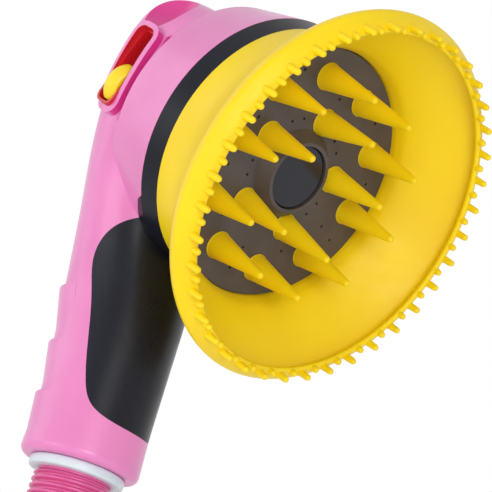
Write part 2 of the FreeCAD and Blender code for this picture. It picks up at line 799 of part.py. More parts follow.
def valve_cap():
    """The plug that closes the barrel round the spool's stem."""
    body = valve_axis(VALVE_HIGH, VALVE_HIGH + CAP_THICK, VALVE_R)
    inner = VALVE_HIGH - CAP_INSIDE
    body = body.fuse(valve_axis(inner, VALVE_HIGH, VALVE_BORE_R - SLIP_PLAY))
    return body.cut(valve_axis(inner - OVERCUT, VALVE_HIGH + CAP_THICK + OVERCUT, STEM_R + STEM_PLAY))


def valve_spool():
    """The plunger: two lands with ring grooves, a waist between them and the stem above."""
    body = valve_axis(SPOOL_LOW, SPOOL_HIGH, SPOOL_R - WAIST_CUT)
    body = body.fuse(valve_axis(SPOOL_LOW, SPOOL_LOW + LAND, SPOOL_R))
    body = body.fuse(valve_axis(SPOOL_HIGH - LAND, SPOOL_HIGH, SPOOL_R))
    body = body.fuse(valve_axis(SPOOL_HIGH, STEM_TOP, STEM_R))
    for middle in ring_heights():
        low, high = middle - RING_GROOVE, middle + RING_GROOVE
        groove = valve_axis(low, high, SPOOL_R + OVERCUT)
        body = body.cut(groove.cut(valve_axis(low, high, SPOOL_R - RING_SUNK)))
    return body


def ring_heights():
    return SPOOL_LOW + LAND / 2, SPOOL_HIGH - LAND / 2


def spool_rings():
    rings = []
    for middle in ring_heights():
        centre = head_point(0, middle, VALVE_BACK)
        rings.append(Part.makeTorus(SPOOL_R - RING_SUNK + RING_CORD, RING_CORD, centre, UP))
    return Part.makeCompound(rings)


def slider_carrier():
    """The cross-bar between the two thumb pieces, with the arm that reaches the spool's stem."""
    bar = Part.makeBox(2 * BAR_HALF, BAR_TALL, BAR_THICK)
    bar.translate(Vector(-BAR_HALF, KNOB_REST - BAR_TALL / 2, -SLOT_BACK - BAR_THICK / 2))
    riser = Part.makeBox(ARM_WIDE, ARM_TOP - KNOB_REST, BAR_THICK)
    riser.translate(Vector(-ARM_WIDE / 2, KNOB_REST, -SLOT_BACK - BAR_THICK / 2))
    reach = SLOT_BACK + BAR_THICK / 2 - VALVE_BACK + ARM_PAST_STEM
    arm = Part.makeBox(ARM_WIDE, ARM_TALL, reach)
    arm.translate(Vector(-ARM_WIDE / 2, ARM_TOP - ARM_TALL, -SLOT_BACK - BAR_THICK / 2))
    body = on_head(bar.fuse(riser).fuse(arm))
    body = body.cut(valve_axis(ARM_TOP - ARM_TALL - OVERCUT, ARM_TOP + OVERCUT, STEM_R))
    for side in both_sides(knob_neck()):
        body = body.fuse(side)
    return body


def knob_neck():
    """The neck that passes through the liner's slit to a thumb piece."""
    top = NECK_HOLD - LINER_SUNK
    return on_flank(rounded_block(NECK_TALL, NECK_WIDE, NECK_ROUND, -NECK_DEEP, top, KNOB_REST))


def thumb_knob():
    """One domed thumb piece: a block rounded both ways, standing proud of the bezel."""
    foot = RUN_GAP - LINER_SUNK
    corner = SLOT_CORNER - LINER_WALL - RUN_GAP
    block = rounded_block(KNOB_LENGTH, KNOB_WIDTH, corner, foot, SLOT_REACH, KNOB_REST)
    dome = Part.makeSphere(1.0)
    matrix = Matrix()
    reach = KNOB_PROUD - foot + DOME_DROP
    matrix.scale(Vector(KNOB_WIDTH / 2 + DOME_SPREAD, KNOB_LENGTH / 2 + DOME_SPREAD, reach))
    dome = dome.transformGeometry(matrix)
    dome.translate(Vector(0, KNOB_REST, foot - DOME_DROP))
    return on_flank(block.common(dome))


def thumb_slider():
    """The near thumb piece, with a pocket for the carrier's neck."""
    return thumb_knob().cut(knob_neck())


def slot_liner():
    """The red tray in the slot: its floor, its walls up to just below the rim, and the neck's slit."""
    floor = -LINER_SUNK
    length, width = SLOT_LENGTH - LINER_PLAY, SLOT_WIDTH - LINER_PLAY
    tray = rounded_block(length, width, SLOT_CORNER, floor - LINER_FLOOR, LINER_LIP, SLOT_MID)
    inner = length - 2 * LINER_WALL, width - 2 * LINER_WALL
    tray = tray.cut(rounded_block(*inner, SLOT_CORNER - LINER_WALL, floor, SLOT_REACH, SLOT_MID))
    slit_low = KNOB_REST - NECK_TALL / 2 - RUN_GAP
    slit_high = KNOB_REST + TRAVEL + NECK_TALL / 2 + RUN_GAP
    size = slit_high - slit_low, NECK_WIDE + 2 * RUN_GAP
    slit = rounded_block(*size, NECK_ROUND + RUN_GAP, -SLOT_REACH, SLOT_REACH, (slit_low + slit_high) / 2)
    return on_flank(tray.cut(slit))


def detent_spring(hollow):
    """The leaf that the slider clicks over, standing on the back wall beside the riser."""
    root = -SLOT_BACK - LEAF_REACH
    leaf = Part.makeBox(LEAF_THICK, LEAF_LONG, LEAF_REACH - LEAF_TIP, Vector(LEAF_X, LEAF_LOW, root))
    bump = Part.makeCylinder(LEAF_BUMP, LEAF_REACH - LEAF_TIP, Vector(LEAF_X, LEAF_CLICK, root))
    bump = bump.cut(Part.makeBox(4.0, 4.0, 40.0, Vector(LEAF_X + LEAF_THICK, LEAF_CLICK - 2.0, root - 1)))
    return on_head(leaf.fuse(bump)).common(hollow)


def flow_path():
    """The tube's middle line: up the handle, then round into the valve's axis."""
    along = (VALVE_BACK * math.sin(ANGLE) + PLATE_Y) / math.cos(ANGLE)
    corner = head_point(0, along, VALVE_BACK)
    half = math.radians((90.0 - SPRAY_ANGLE) / 2)
    cut = BEND_R * math.tan(half)
    start = Vector(0, 0, TUBE_FOOT)
    bend_start = corner - UPRIGHT * cut
    bend_end = corner + UP * cut
    middle = corner + (UP - UPRIGHT).normalize() * (BEND_R / math.cos(half) - BEND_R)
    end = head_point(0, VALVE_LOW - TUBE_STOP - TUBE_PLAY, VALVE_BACK)
    return Part.Wire([
        Part.makeLine(start, bend_start),
        Part.Arc(bend_start, middle, bend_end).toShape(),
        Part.makeLine(bend_end, end),
    ])


def flow_tube():
    path = flow_path()
    start = Vector(0, 0, TUBE_FOOT)
    solids = []
    for radius in (TUBE_R, TUBE_BORE_R):
        profile = Part.Wire([Part.Circle(start, UPRIGHT, radius).toShape()])
        solids.append(path.makePipeShell([profile], True, False))
    return solids[0].cut(solids[1])


def tube_seals():
    radius = TUBE_R + SEAL_CORD
    low = Part.makeTorus(radius, SEAL_CORD, Vector(0, 0, TUBE_FOOT + SEAL_IN), UPRIGHT)
    high = Part.makeTorus(radius, SEAL_CORD, head_point(0, VALVE_LOW - SEAL_IN, VALVE_BACK), UP)
    return Part.makeCompound([low, high])


def inlet_nipple():
    """The threaded spigot: thread, neck through the handle's foot, flange inside and the tube's socket."""
    inside_foot = HANDLE_FOOT_Z + FOOT_WALL
    body = disc(THREAD_R, 0, THREAD_LENGTH)
    body = body.fuse(disc(NECK_R, THREAD_LENGTH, inside_foot))
    body = body.fuse(disc(NIPPLE_FLANGE_R, inside_foot, inside_foot + NIPPLE_FLANGE_THICK))
    body = body.fuse(disc(TUBE_R + TUBE_SOCKET_WALL, inside_foot, TUBE_FOOT + SOCKET_DEEP))
    body = body.cut(disc(INLET_BORE_R, -OVERCUT, FILTER_SEAT))
    body = body.cut(disc(TUBE_BORE_R, -OVERCUT, TUBE_FOOT + OVERCUT))
    body = body.cut(disc(TUBE_R + PRESS_PLAY, TUBE_FOOT, TUBE_FOOT + SOCKET_DEEP + OVERCUT))
    seal = TUBE_FOOT + SEAL_IN
    return body.cut(disc(TUBE_R + SEAL_GROOVE_DEEP, seal - SEAL_GROOVE, seal + SEAL_GROOVE))


def hose_ring():
    return ring(HOSE_RING_R, NECK_R, THREAD_LENGTH, HANDLE_FOOT_Z)


def inlet_filter():
    """The strainer disc in the inlet, with its rim and its holes."""
    body = disc(INLET_BORE_R - PRESS_PLAY, FILTER_SEAT - FILTER_THICK, FILTER_SEAT)
    below = FILTER_SEAT - FILTER_THICK - OVERCUT
    body = body.cut(disc(INLET_BORE_R - FILTER_RIM, below, FILTER_SEAT - FILTER_NET))
    holes = [(0.0, 0.0)]
    for radius, count in FILTER_RINGS:
        for number in range(count):
            turn = 2 * math.pi * number / count
            holes.append((radius * math.cos(turn), radius * math.sin(turn)))
    for x, y in holes:
        body = body.cut(disc(FILTER_HOLE_R, below, FILTER_SEAT + OVERCUT, x, y))
    return body


def valve_screws():
    screws = []
    for side in (-1, 1):
        x = side * EAR_SCREW_X
        seat = -VALVE_BACK - EAR_THICK / 2
        head = disc(EAR_HEAD_R, seat - EAR_HEAD_TALL, seat, x, EAR_UP)
        shank = disc(EAR_SCREW_R, seat, SCREW_BITE - VALVE_BACK, x, EAR_UP)
        screws.append(on_head(head.fuse(shank)))
    return Part.makeCompound(screws)


def main():
    os.makedirs("parts", exist_ok=True)
    hollow = inside()
    grip = soft_grip()
    front, rear = shells(grip, hollow)
    near = thumb_slider()
    liner = slot_liner()
    nodes = {
        "front_shell": front,
        "rear_shell": rear,
        "soft_grip": grip,
        "splash_cup": splash_cup(),
        "massage_spikes": massage_spikes(),
        "cone_mat": cone_mat(),
        "spray_plate": spray_plate(),
        "hub_cap": hub_cap(),
        "hub_screw": hub_screw(),
        "plate_gasket": plate_gasket(),
        "head_manifold": head_manifold(),
        "cup_clamp": cup_clamp(),
        "valve_housing": valve_housing(),
        "valve_cap": valve_cap(),
        "valve_spool": valve_spool(),
        "spool_rings": spool_rings(),
        "outlet_seal": outlet_seal(),
        "valve_screws": valve_screws(),
        "thumb_slider": near,
        "thumb_slider_far": near.mirror(ORIGIN, ACROSS),
        "slot_liner": liner,
        "slot_liner_far": liner.mirror(ORIGIN, ACROSS),
        "slider_carrier": slider_carrier(),
        "detent_spring": detent_spring(hollow),
        "flow_tube": flow_tube(),
        "tube_seals": tube_seals(),
        "inlet_nipple": inlet_nipple(),
        "hose_ring": hose_ring(),
        "inlet_filter": inlet_filter(),
    }
    for name, shape in nodes.items():
        print(name, "valid", shape.isValid(), "solids", len(shape.Solids), "volume", round(shape.Volume, 1))
        shape.exportStep("parts/%s.step" % name)


if __name__ == "__main__":
    main()
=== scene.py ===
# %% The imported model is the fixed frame
import json
import math

import bmesh
import bpy
import numpy as np
from mathutils import Matrix, Vector


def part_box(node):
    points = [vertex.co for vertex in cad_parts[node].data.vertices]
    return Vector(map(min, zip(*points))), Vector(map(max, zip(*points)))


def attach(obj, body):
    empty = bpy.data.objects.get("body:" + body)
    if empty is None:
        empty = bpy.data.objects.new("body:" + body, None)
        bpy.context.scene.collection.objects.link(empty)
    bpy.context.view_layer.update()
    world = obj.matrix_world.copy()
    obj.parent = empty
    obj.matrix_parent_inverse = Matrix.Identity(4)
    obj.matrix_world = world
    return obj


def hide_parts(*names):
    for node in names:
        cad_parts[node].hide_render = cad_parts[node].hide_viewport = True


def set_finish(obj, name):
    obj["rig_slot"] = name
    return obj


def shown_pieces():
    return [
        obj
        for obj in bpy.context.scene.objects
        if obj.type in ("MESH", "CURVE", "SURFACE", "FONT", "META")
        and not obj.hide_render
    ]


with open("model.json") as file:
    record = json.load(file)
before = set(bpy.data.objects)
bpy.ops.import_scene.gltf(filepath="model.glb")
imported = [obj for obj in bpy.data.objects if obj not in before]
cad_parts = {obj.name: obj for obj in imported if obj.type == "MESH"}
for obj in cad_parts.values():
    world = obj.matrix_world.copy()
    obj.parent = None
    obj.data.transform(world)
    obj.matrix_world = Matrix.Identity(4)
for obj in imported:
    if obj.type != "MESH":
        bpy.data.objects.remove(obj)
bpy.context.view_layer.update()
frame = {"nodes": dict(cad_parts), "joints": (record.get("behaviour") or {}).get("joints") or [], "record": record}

# %% [markdown]
# A bath sprayer: a handle with a hose thread at its foot, a drum-shaped head with a drilled plate, rubber
# cones and a flared rubber cup. Everything on the head is turned about the spray axis, so the lesson first
# finds that axis. It could be typed in as numbers, but then it would part from the model as soon as the
# model changed. The slider's joint runs straight up the head and the hub's plug lies on the axis, so both
# directions and the plate's middle are read from the frame.

# %% The head's own directions
MM = 0.001
PLUG_MIDDLE = 1.8

up = np.array(frame["joints"][0]["axis"])
spray = np.array([0.0, -up[2], up[1]])
across = np.array([1.0, 0.0, 0.0])
plug_low, plug_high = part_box("hub_cap")
plate = np.array(plug_low + plug_high) / 2 - spray * PLUG_MIDDLE * MM
print("plate middle", plate.round(4), "spray", spray.round(3), "up", up.round(3))

# %% [markdown]
# The hard pieces are already right in the model, so they keep their own meshes. The soft ones and those with
# details too fine for the model are made anew, and each new piece has to move with the same body as the node
# that it stands for. The record inside the frame tells which body and which finish that is.

# %% A piece that belongs to a node
SLOT_OF = {entry["node"]: entry["material_slot"] for entry in frame["record"]["subparts"]}
BODY_OF = {}
for body_name, members in frame["record"]["behaviour"]["bodies"].items():
    BODY_OF.update((member, body_name) for member in members)


def belongs_to(made, node):
    """The made piece moves with the node's body and takes the node's finish."""
    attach(made, BODY_OF[node])
    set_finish(made, SLOT_OF[node])


def stand_in(made, node):
    """The made piece belongs to the node and hides it."""
    belongs_to(made, node)
    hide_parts(node)


print("slots", sorted(set(SLOT_OF.values())))

# %% [markdown]
# Colours are written as they look on a screen, in hex, and the shader wants them as linear light, so one
# function turns them. A colour picker would show the same values, but hex codes can be compared and kept.

# %% Hex colours as linear light
def linear(code):
    """An sRGB hex colour as linear red, green, blue and alpha, by the sRGB curve's two parts."""
    parts = np.array([int(code[i:i + 2], 16) for i in (1, 3, 5)]) / 255
    light = np.where(parts <= 0.04045, parts / 12.92, ((parts + 0.055) / 1.055) ** 2.4)
    return (*light.tolist(), 1.0)


print("mid grey", [round(part, 3) for part in linear("#808080")])

# %% [markdown]
# A material is a small tree of nodes. Each could be set up by hand in the editor; here one function adds a
# node, sets it and links what feeds it. Patterns read the object's own coordinates, which are metres.

# %% One way to add a node
def add(tree, kind, inputs, **settings):
    """A node with its settings; an input is a constant, a hex colour or the socket that feeds it."""
    node = tree.nodes.new(kind)
    for key, value in settings.items():
        setattr(node, key, value)
    for key, value in inputs.items():
        if isinstance(value, bpy.types.NodeSocket):
            tree.links.new(value, node.inputs[key])
        else:
            node.inputs[key].default_value = linear(value) if isinstance(value, str) else value
    return node


def finish_of(name, constants):
    """A new material: its tree, its shader with constant values set, and the object's coordinates."""
    made = bpy.data.materials.new(name)
    made.use_nodes = True
    tree = made.node_tree
    tree.nodes.clear()
    shader = add(tree, "ShaderNodeBsdfPrincipled", constants)
    add(tree, "ShaderNodeOutputMaterial", {"Surface": shader.outputs["BSDF"]})
    place = add(tree, "ShaderNodeTexCoord", {}).outputs["Object"]
    return made, tree, shader, place


FINISHES = {}
print("materials so far", len(bpy.data.materials))

# %% [markdown]
# No real surface is one flat value. Its colour drifts over a few centimetres, its gloss over less, and its
# skin is never quite even. Soft noise gives all three. Its patches are sized in millimetres of the real
# thing, and most of a noise lies in the middle of its range, so that middle is what gets spread.

# %% Drift, gloss and ripple
NOISE_MIDDLE = {"From Min": 0.3, "From Max": 0.7}
PATCH_DETAIL = 3.0
RIPPLE_DETAIL = 2.0
MIX_FIRST, MIX_SECOND, MIX_RESULT = 6, 7, 2


def per_size(size_mm):
    """The scale that makes a pattern's cells about this size, on coordinates in metres."""
    return 1000.0 / size_mm


def mottled(tree, place, size_mm, low, high):
    """A soft noise between two values, with patches of about this size."""
    patches = {"Vector": place, "Scale": per_size(size_mm), "Detail": PATCH_DETAIL}
    noise = add(tree, "ShaderNodeTexNoise", patches).outputs["Fac"]
    spread = {"Value": noise, "To Min": low, "To Max": high, **NOISE_MIDDLE}
    return add(tree, "ShaderNodeMapRange", spread).outputs["Result"]


def drifting(tree, place, size_mm, first, second):
    """A colour that drifts from one hex colour to another in patches of about this size."""
    ends = {"Factor": mottled(tree, place, size_mm, 0.0, 1.0), MIX_FIRST: first, MIX_SECOND: second}
    return add(tree, "ShaderNodeMix", ends, data_type="RGBA").outputs[MIX_RESULT]


def ripple(tree, shader, place, size_mm, height_mm, strength=0.5):
    """A bump of soft noise on the shader: patch size and height in mm."""
    waves = {"Vector": place, "Scale": per_size(size_mm), "Detail": RIPPLE_DETAIL}
    noise = add(tree, "ShaderNodeTexNoise", waves).outputs["Fac"]
    heights = {"Height": noise, "Distance": height_mm * MM, "Strength": strength}
    tree.links.new(add(tree, "ShaderNodeBump", heights).outputs["Normal"], shader.inputs["Normal"])


print("a 30 mm patch has scale", round(per_size(30.0), 1))

# %% [markdown]
# The shells are moulded ABS, pink right through and polished in the mould. To the eye that is a soft, even
# colour under a clear highlight, with very slight waves where the plastic cooled. A flat colour would look
# like paint on a screen, so the colour drifts a little, and the roughness has faint patches from handling.

# %% Pink ABS, moulded glossy
PINK_CLEAR = {"IOR": 1.5, "Coat Weight": 0.15, "Coat Roughness": 0.1}
SMOOTHER = 0.04
ROUGHER = 0.05


def pink_abs(name, light, deep, roughness):
    """Pink plastic with its tree, its shader and the object's coordinates."""
    made, tree, shader, place = finish_of(name, PINK_CLEAR)
    colour = drifting(tree, place, size_mm=30.0, first=light, second=deep)
    gloss = mottled(tree, place, size_mm=9.0, low=roughness - SMOOTHER, high=roughness + ROUGHER)
    tree.links.new(colour, shader.inputs["Base Color"])
    tree.links.new(gloss, shader.inputs["Roughness"])
    ripple(tree, shader, place, size_mm=14.0, height_mm=0.05)
    return made, tree, shader, place


# The thread is given a deeper, more saturated pink than the shell.
FINISHES["pink_thread"] = pink_abs("deeper_pink_thread", "#D65B96", "#CE4F8B", roughness=0.36)[0]
print("thread's finish", FINISHES["pink_thread"].name)

# %% [markdown]
# In the scoop, in the groove and on the slot's forward side the shell looks magenta, being in shade where light
# falls from pink wall to pink wall; here that magenta shade is painted into the colour. Inside the slot the
# plastic is red.
# Those places could be painted by hand on a picture. Nodes find them instead, from the same lengths that shaped
# them, so the first step is the place on the head: sideways from the middle, up and forward, in mm.

# %% Places on the head
FALLING = {"To Min": 1.0, "To Max": 0.0}
EDGE_BLUR = 0.12


def place_on_head(tree, place):
    """The place on the head: dot products of its three ways with the place less the plate's middle."""
    away = add(tree, "ShaderNodeVectorMath", {0: place, 1: tuple(plate)}, operation="SUBTRACT").outputs[0]
    parts = {}
    for key, way in (("X", across), ("Y", up), ("Z", spray)):
        dot = add(tree, "ShaderNodeVectorMath", {0: away, 1: tuple(way / MM)}, operation="DOT_PRODUCT")
        parts[key] = dot.outputs["Value"]
    parts["X"] = add(tree, "ShaderNodeMath", {0: parts["X"]}, operation="ABSOLUTE").outputs[0]
    return add(tree, "ShaderNodeCombineXYZ", parts).outputs[0]


print("edges blur over", EDGE_BLUR / 2, "mm")

# %% [markdown]
# The scoop is a hollow cut by an ellipsoid on each flank, above the slot. A place is in it where its offset
# from the ellipsoid's middle, divided by the three radii, is no longer than one.

# %% The scoop
SCOOP_MIDDLE = (35.5, 21.0, -45.0)
SCOOP_RADII = (14.0, 13.0, 9.6)
SCOOP_EDGE = {"From Min": 1.02, "From Max": 1.035}
SCOOP_LOWEST = 10.4


# This mask places painted magenta shade in the scoop.
def in_scoop(tree, head):
    """One where the scaled offset is no longer than about one and the place is above the slot's rim."""
    offset = add(tree, "ShaderNodeVectorMath", {0: head, 1: SCOOP_MIDDLE}, operation="SUBTRACT").outputs[0]
    scaled = add(tree, "ShaderNodeVectorMath", {0: offset, 1: SCOOP_RADII}, operation="DIVIDE").outputs[0]
    reach = add(tree, "ShaderNodeVectorMath", {0: scaled}, operation="LENGTH").outputs["Value"]
    near = add(tree, "ShaderNodeMapRange", {"Value": reach, **SCOOP_EDGE, **FALLING}).outputs["Result"]
    height = add(tree, "ShaderNodeSeparateXYZ", {0: head}).outputs["Y"]
    above = add(tree, "ShaderNodeMath", {0: height, 1: SCOOP_LOWEST}, operation="GREATER_THAN").outputs[0]
    return add(tree, "ShaderNodeMath", {0: near, 1: above}, operation="MULTIPLY").outputs[0]


print("scoop middle", SCOOP_MIDDLE, "mm")

# %% [markdown]
# In front of each slot runs a groove with a round bottom, part of a ring about the spray axis. A place is in
# it where its distance to that ring's circle is no more than the groove's round, within the groove's length.

# %% The groove
GROOVE_CIRCLE = 32.4
GROOVE_BEHIND = 33.0
GROOVE_ROUND = 1.7
GROOVE_MIDDLE_UP = -2.9
GROOVE_HALF_SPAN = 12.4
GROOVE_EDGE = {"From Min": GROOVE_ROUND + EDGE_BLUR / 2, "From Max": GROOVE_ROUND + EDGE_BLUR}
SIDEWAYS_AND_UP = (1.0, 1.0, 0.0)


# This mask places painted magenta shade in the groove.
def in_groove(tree, head):
    """One where the distance to the circle, the length of its parts out and back, is within the round."""
    parts = add(tree, "ShaderNodeSeparateXYZ", {0: head}).outputs
    flat = add(tree, "ShaderNodeVectorMath", {0: head, 1: SIDEWAYS_AND_UP}, operation="MULTIPLY").outputs[0]
    radius = add(tree, "ShaderNodeVectorMath", {0: flat}, operation="LENGTH").outputs["Value"]
    out = add(tree, "ShaderNodeMath", {0: radius, 1: GROOVE_CIRCLE}, operation="SUBTRACT").outputs[0]
    back = add(tree, "ShaderNodeMath", {0: parts["Z"], 1: GROOVE_BEHIND}, operation="ADD").outputs[0]
    gap = add(tree, "ShaderNodeCombineXYZ", {"X": out, "Y": back}).outputs[0]
    distance = add(tree, "ShaderNodeVectorMath", {0: gap}, operation="LENGTH").outputs["Value"]
    near = add(tree, "ShaderNodeMapRange", {"Value": distance, **GROOVE_EDGE, **FALLING}).outputs["Result"]
    span = {0: parts["Y"], 1: GROOVE_MIDDLE_UP, 2: GROOVE_HALF_SPAN}
    along = add(tree, "ShaderNodeMath", span, operation="COMPARE").outputs[0]
    return add(tree, "ShaderNodeMath", {0: near, 1: along}, operation="MULTIPLY").outputs[0]


print("groove round", GROOVE_ROUND, "mm")

# %% [markdown]
# Each slot has a raised rim. The rim's side towards the groove is found by where it lies and by which way it
# faces, since its outline alone would take in the rim's top as well.

# %% The slot's forward side
SIDE_SPAN = 12.0
SIDE_BEHIND = 34.2
SIDE_HALF = 3.0
SIDE_FACING = {"From Min": 0.35, "From Max": 0.55}


# This mask places painted magenta shade on the rim's side, which lies in shade.
def on_slot_side(tree, head):
    """One near the groove and beside the slot, where the surface faces forward."""
    parts = add(tree, "ShaderNodeSeparateXYZ", {0: head}).outputs
    normal = add(tree, "ShaderNodeNewGeometry", {}).outputs["Normal"]
    dot = add(tree, "ShaderNodeVectorMath", {0: normal, 1: tuple(spray)}, operation="DOT_PRODUCT")
    facing = {"Value": dot.outputs["Value"], **SIDE_FACING}
    forward = add(tree, "ShaderNodeMapRange", facing).outputs["Result"]
    behind = {0: parts["Z"], 1: -SIDE_BEHIND, 2: SIDE_HALF}
    near = add(tree, "ShaderNodeMath", behind, operation="COMPARE").outputs[0]
    span = {0: parts["Y"], 1: GROOVE_MIDDLE_UP, 2: SIDE_SPAN}
    along = add(tree, "ShaderNodeMath", span, operation="COMPARE").outputs[0]
    here = add(tree, "ShaderNodeMath", {0: near, 1: along}, operation="MULTIPLY").outputs[0]
    return add(tree, "ShaderNodeMath", {0: here, 1: forward}, operation="MULTIPLY").outputs[0]


print("the side lies within", SIDE_HALF, "mm of", SIDE_BEHIND, "mm behind the plate")

# %% [markdown]
# The slot is a long hole with round corners, seen square on along a line 8 degrees off sideways. A place is
# on its wall or within it where it is no further than the corner's round from a smaller rectangle.

# %% The slot's wall
SLOT_MIDDLE = (29.6, -2.6, -40.2)
SLOT_HALF = (3.7, 11.3, 0.0)
SLOT_CORNER = 2.4
SLOT_TURN = math.radians(8.0)
SLOT_EDGE = {"From Min": SLOT_CORNER + EDGE_BLUR / 2, "From Max": SLOT_CORNER + EDGE_BLUR}
SLOT_WAYS = {"X": (math.sin(SLOT_TURN), 0.0, math.cos(SLOT_TURN)), "Y": (0.0, 1.0, 0.0)}
NOUGHT = (0.0, 0.0, 0.0)


def on_slot_wall(tree, head):
    """One where what the offset has beyond the smaller rectangle's halves is no longer than the corner."""
    offset = add(tree, "ShaderNodeVectorMath", {0: head, 1: SLOT_MIDDLE}, operation="SUBTRACT").outputs[0]
    parts = {}
    for key, way in SLOT_WAYS.items():
        dot = add(tree, "ShaderNodeVectorMath", {0: offset, 1: way}, operation="DOT_PRODUCT")
        parts[key] = dot.outputs["Value"]
    flat = add(tree, "ShaderNodeCombineXYZ", parts).outputs[0]
    size = add(tree, "ShaderNodeVectorMath", {0: flat}, operation="ABSOLUTE").outputs[0]
    inner = tuple(max(half - SLOT_CORNER, 0.0) for half in SLOT_HALF)
    past = add(tree, "ShaderNodeVectorMath", {0: size, 1: inner}, operation="SUBTRACT").outputs[0]
    past = add(tree, "ShaderNodeVectorMath", {0: past, 1: NOUGHT}, operation="MAXIMUM").outputs[0]
    reach = add(tree, "ShaderNodeVectorMath", {0: past}, operation="LENGTH").outputs["Value"]
    return add(tree, "ShaderNodeMapRange", {"Value": reach, **SLOT_EDGE, **FALLING}).outputs["Result"]


print("slot", 2 * SLOT_HALF[0], "by", 2 * SLOT_HALF[1], "mm")

# %% [markdown]
# The shell is the same pink plastic with those places laid over it, one after another: painted magenta shade in
# the scoop, the groove and on the slot's side, then the red. The red comes last, so that it wins where the slot
# cuts the rest.

# %% The shell's pink, with painted shade
# The magenta is painted shade; the red is the slot's own colour.
PAINTED_MAGENTA_SHADE = "#D0358A"
SLOT_RED = "#C41A2A"
PAINTED_SHADE_AND_RED = (
    (in_scoop, PAINTED_MAGENTA_SHADE), (in_groove, PAINTED_MAGENTA_SHADE),
    (on_slot_side, PAINTED_MAGENTA_SHADE), (on_slot_wall, SLOT_RED),
)


def pink_shell():
    """Pink plastic whose colour gives way to painted magenta shade, and to red in the slot, wherever a place's
    mask is one.
    """
    made, tree, shader, place = pink_abs("pink_abs_with_painted_shade", "#E081BC", "#D674B0", roughness=0.32)
    head = place_on_head(tree, place)
    colour = shader.inputs["Base Color"].links[0].from_socket
    # Each mask lays its colour over the pink: painted magenta shade first, then the slot's red.
    for mask, code in PAINTED_SHADE_AND_RED:
        laid = {"Factor": mask(tree, head), MIX_FIRST: colour, MIX_SECOND: code}
        colour = add(tree, "ShaderNodeMix", laid, data_type="RGBA").outputs[MIX_RESULT]
    tree.links.new(colour, shader.inputs["Base Color"])
    return made


FINISHES["pink_shell"] = pink_shell()
print("shell's nodes", len(FINISHES["pink_shell"].node_tree.nodes))

# %% [markdown]
# The dark ring and pad are a soft elastomer moulded over the shell. It is nearly black with a blue cast and
# shows broad, blurred reflections, wider than those of hard plastic.

# %% Navy overmoulded elastomer
def navy_overmould():
    """Near-black rubber with a weak, wide highlight."""
    skin = {"IOR": 1.45, "Specular IOR Level": 0.25}
    made, tree, shader, place = finish_of("navy_elastomer_overmoulded", skin)
    colour = drifting(tree, place, size_mm=20.0, first="#12131C", second="#171924")
    tree.links.new(colour, shader.inputs["Base Color"])
    tree.links.new(mottled(tree, place, size_mm=6.0, low=0.26, high=0.36), shader.inputs["Roughness"])
    ripple(tree, shader, place, size_mm=3.0, height_mm=0.02, strength=0.35)
    return made


FINISHES["navy_soft"] = navy_overmould()
print("ring and pad", FINISHES["navy_soft"].name)

# %% [markdown]
# The cup and cones are one yellow silicone rubber. Light goes a little way in and comes out again, so thin
# edges glow and the hollow of the cup turns golden where yellow light falls on yellow. Subsurface scattering
# gives that, on top of a soft, slightly greasy highlight. Red light goes furthest in and blue hardly at all.

# %% Yellow silicone rubber
def yellow_silicone():
    """Yellow rubber that lets a little light through its skin."""
    skin = {
        "IOR": 1.42, "Specular IOR Level": 0.42, "Subsurface Weight": 0.15,
        "Subsurface Scale": 1.5 * MM, "Subsurface Radius": (1.0, 0.7, 0.1),
    }
    made, tree, shader, place = finish_of("yellow_silicone_moulded", skin)
    colour = drifting(tree, place, size_mm=25.0, first="#F4D40E", second="#EECB08")
    tree.links.new(colour, shader.inputs["Base Color"])
    tree.links.new(mottled(tree, place, size_mm=5.0, low=0.38, high=0.5), shader.inputs["Roughness"])
    ripple(tree, shader, place, size_mm=2.5, height_mm=0.02, strength=0.4)
    return made


FINISHES["yellow_rubber"] = yellow_silicone()
print("cup and cones", FINISHES["yellow_rubber"].name)

# %% [markdown]
# The other plastics are small moulded pieces: the satin plate, its glossy plug, the red liners, the yellow
# thumb pieces, the pale washer, and the seals and other parts inside. They differ in colour, gloss and the
# fineness of the mould's texture, so one function makes them from those facts: a name, two colours that the
# piece drifts between, a roughness and the width of its grain in mm.

# %% Small moulded pieces
GRAIN_HEIGHT = 0.01
GRAIN_ROUGHER = 0.06
SMALL_PIECES = {
    "plate_grey": ("brown_grey_polypropylene_satin", "#4E4543", "#453D3B", 0.42, 0.8),
    "plug_navy": ("navy_abs_polished", "#121224", "#0E0E1C", 0.18, 3.0),
    "red_plastic": ("red_abs_glossy", "#CE1E2A", "#C01822", 0.28, 3.0),
    "yellow_plastic": ("yellow_abs_moulded", "#F4D51C", "#EDCB12", 0.38, 3.0),
    "white_ring": ("pale_grey_acetal_satin", "#D3DCE2", "#C6D0D7", 0.4, 1.0),
    "white_inner": ("white_acetal_moulded", "#E6E6E2", "#DCDCD8", 0.45, 1.0),
    "grey_inner": ("grey_abs_moulded", "#5F6063", "#55565A", 0.5, 1.0),
    "seal_rubber": ("black_nitrile_rubber", "#1A1A1A", "#141414", 0.55, 0.6),
}


def moulded(name, light, deep, roughness, grain_mm):
    """A small piece's plastic or rubber, with a fine grain from its mould."""
    made, tree, shader, place = finish_of(name, {"IOR": 1.5})
    colour = drifting(tree, place, size_mm=8.0, first=light, second=deep)
    gloss = mottled(tree, place, size_mm=2.0, low=roughness - SMOOTHER, high=roughness + GRAIN_ROUGHER)
    tree.links.new(colour, shader.inputs["Base Color"])
    tree.links.new(gloss, shader.inputs["Roughness"])
    ripple(tree, shader, place, grain_mm, GRAIN_HEIGHT)
    return made


for slot_name, facts in SMALL_PIECES.items():
    FINISHES[slot_name] = moulded(*facts)
print("small pieces' finishes", len(SMALL_PIECES))

# %% [markdown]
# The screws and the leaf spring are stainless steel. Nobody sees them once the shells are closed, but each
# node still gets a true finish: a bright metal whose gloss is uneven from rolling.

